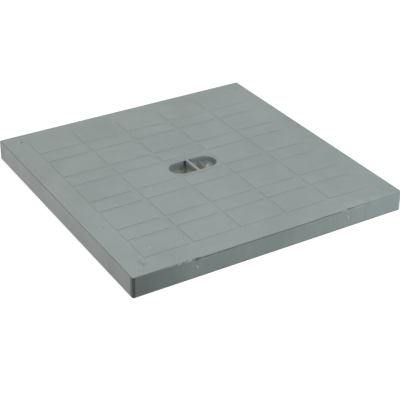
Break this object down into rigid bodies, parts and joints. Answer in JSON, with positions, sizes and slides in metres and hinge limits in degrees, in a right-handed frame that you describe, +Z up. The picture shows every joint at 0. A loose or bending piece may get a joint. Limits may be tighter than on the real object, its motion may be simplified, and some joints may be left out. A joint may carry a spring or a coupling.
{
  "type": "inspection cover",
  "caption": "Square one-piece plastic inspection cover with a low tile tread, a plain skirt, a barred finger recess in the middle and a ribbed underside.",
  "frame": {"origin": "middle of the square footprint, on the surface the cover rests on", "axes": "+Z up through the tread; X along the long side of the finger recess, with the ends of the recess to the left and right; -Y is the front, one of the two sides with the small pips"},
  "size_m": [0.4006, 0.4022, 0.0289],
  "materials": {
    "cover": "moulded grey polypropylene, fine satin grain"
  },
  "bodies": {
    "root": {"cover": "cover"}
  },
  "joints": []
}
